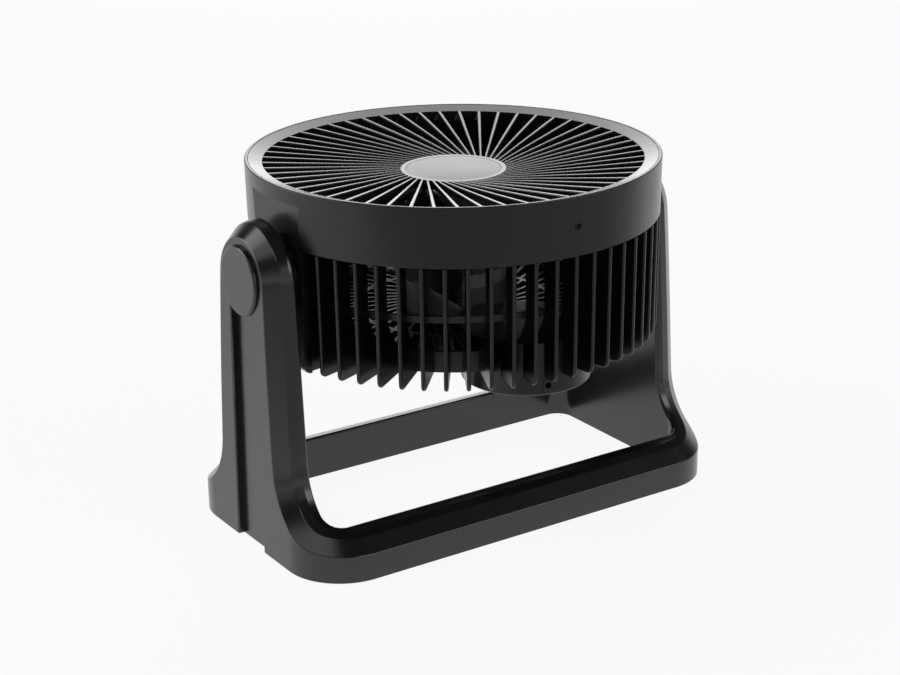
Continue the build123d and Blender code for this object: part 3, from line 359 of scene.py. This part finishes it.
def add_camera():
    """Camera with the photograph's place, direction and field of view."""
    ahead = Vector((sin(YAW) * cos(PITCH), cos(YAW) * cos(PITCH), -sin(PITCH)))
    level = Vector((cos(YAW), -sin(YAW), 0.0))
    upright = level.cross(ahead)
    right = level * cos(ROLL) + upright * sin(ROLL)
    up = upright * cos(ROLL) - level * sin(ROLL)
    data = bpy.data.cameras.new("photo_camera")
    data.lens, data.sensor_width = LENS_MM, SENSOR_MM
    data.clip_start, data.clip_end = CLIP_NEAR, CLIP_FAR
    camera = bpy.data.objects.new("photo_camera", data)
    axes = Matrix((right, up, -ahead)).transposed().to_4x4()
    camera.matrix_world = Matrix.Translation(CAMERA_PLACE) @ axes
    bpy.context.scene.collection.objects.link(camera)
    bpy.context.scene.camera = camera


def softbox(name, azimuth, elevation, width, height, radiance):
    """Even rectangular lamp on the studio's dome, facing the fan; radiance 1 looks white."""
    turn, rise = radians(azimuth), radians(elevation)
    outward = Vector((cos(turn) * cos(rise), sin(turn) * cos(rise), sin(rise)))
    data = bpy.data.lights.new(name, "AREA")
    data.shape, data.size, data.size_y = "RECTANGLE", width, height
    data.energy = radiance * pi * width * height
    lamp = bpy.data.objects.new(name, data)
    lamp.location = Vector(LIGHT_AIM) + outward * LIGHT_RADIUS
    lamp.rotation_mode = "QUATERNION"
    lamp.rotation_quaternion = (-outward).to_track_quat("-Z", "Y")
    lamp.visible_camera = False
    bpy.context.scene.collection.objects.link(lamp)


def add_floor():
    """White paper, near white to the eye and, behind the fan, glowing white in reflections too, as a
    painted reflection.

    In front of the fan reflections show the paper in its own softer light.
    """
    material, tree, out = start_material("paper_coated_studio_floor")
    rays = put(tree, "ShaderNodeLightPath")
    seen = put(tree, "ShaderNodeMath", {0: rays.outputs["Is Camera Ray"],
                                        1: rays.outputs["Is Transmission Ray"]},
               operation="MAXIMUM")
    spot = put(tree, "ShaderNodeSeparateXYZ",
               {"Vector": put(tree, "ShaderNodeTexCoord").outputs["Object"]})
    # How far the floor's mirror image glows white, set by place: a painted reflection, full behind
    # the fan and none in front.
    lit = put(tree, "ShaderNodeMapRange", {"Value": spot.outputs["Y"], "From Min": FLOOR_PAPER_Y,
                                           "From Max": FLOOR_GLOW_Y},
              interpolation_type="SMOOTHSTEP")
    mirrored = put(tree, "ShaderNodeMath", {0: rays.outputs["Is Glossy Ray"],
                                            1: lit.outputs["Result"]}, operation="MULTIPLY")
    shown = put(tree, "ShaderNodeMath", {0: seen.outputs["Value"],
                                         1: mirrored.outputs["Value"]}, operation="MAXIMUM")
    share = put(tree, "ShaderNodeMath", {0: shown.outputs["Value"], 1: FLOOR_WHITE_SHARE},
                operation="MULTIPLY")
    paper = put(tree, "ShaderNodeBsdfDiffuse", {"Color": linear("#e6e6e6")})
    glow = put(tree, "ShaderNodeEmission", {"Color": linear("#ffffff"), "Strength": 1.0})
    both = put(tree, "ShaderNodeMixShader", {0: share.outputs["Value"], 1: paper.outputs["BSDF"],
                                             2: glow.outputs["Emission"]})
    tree.links.new(both.outputs["Shader"], out.inputs["Surface"])
    mesh = bpy.data.meshes.new("studio_floor")
    corners = FLOOR_HALF * np.array([(-1, -1, 0), (1, -1, 0), (1, 1, 0), (-1, 1, 0)])
    mesh.from_pydata(corners.tolist(), [], [(0, 1, 2, 3)])
    mesh.materials.append(material)
    floor = bpy.data.objects.new("studio_floor", mesh)
    bpy.context.scene.collection.objects.link(floor)


def add_world():
    """Air that is pale along the horizon, as a lit backdrop is, and dim overhead."""
    world = bpy.data.worlds.new("studio_air")
    world.use_nodes = True
    tree = world.node_tree
    tree.nodes.clear()
    aim = put(tree, "ShaderNodeSeparateXYZ",
              {"Vector": put(tree, "ShaderNodeTexCoord").outputs["Generated"]})
    fade = put(tree, "ShaderNodeMapRange", {"Value": aim.outputs["Z"], "From Min": 0.0,
                                            "From Max": AIR_FADE, "To Min": AIR_LOW,
                                            "To Max": AIR_HIGH}, interpolation_type="SMOOTHSTEP")
    air = put(tree, "ShaderNodeBackground", {"Color": linear("#ffffff"),
                                             "Strength": fade.outputs["Result"]})
    out = put(tree, "ShaderNodeOutputWorld")
    tree.links.new(air.outputs["Background"], out.inputs["Surface"])
    bpy.context.scene.world = world


add_camera()
add_floor()
add_world()
for lamp_row in SOFTBOXES:
    softbox(*lamp_row)

bpy.context.scene.view_settings.view_transform = "Standard"
